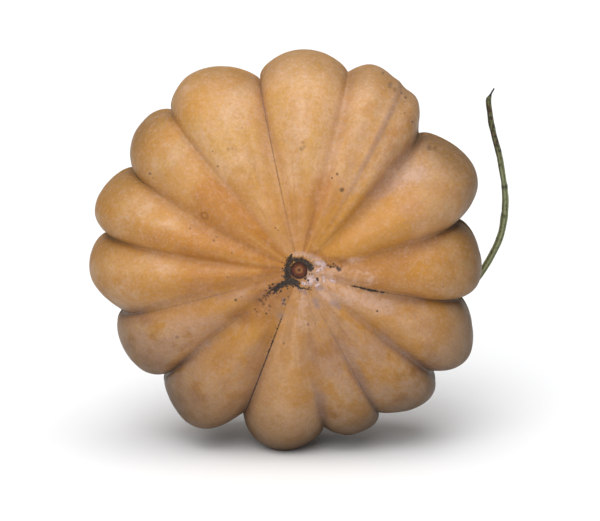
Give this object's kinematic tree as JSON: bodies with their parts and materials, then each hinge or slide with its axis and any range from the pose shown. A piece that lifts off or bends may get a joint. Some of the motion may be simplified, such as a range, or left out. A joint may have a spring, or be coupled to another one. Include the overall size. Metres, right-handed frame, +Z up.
{
  "type": "pumpkin",
  "caption": "Flattened, deeply ribbed field pumpkin standing on its rim, with a thin dried stalk that curves up beside it.",
  "frame": {"origin": "middle of the small flat spot on the rim, on which the fruit stands", "axes": "+Z up; +Y along the fruit's own axis from the blossom scar to the stalk end; +X to the right as seen from the blossom end"},
  "size_m": [0.381, 0.2111, 0.3584],
  "materials": {
    "skin": "satin",
    "dried_stalk": "matte"
  },
  "bodies": {
    "root": {"fruit": "skin", "stem": "dried_stalk"}
  },
  "joints": []
}
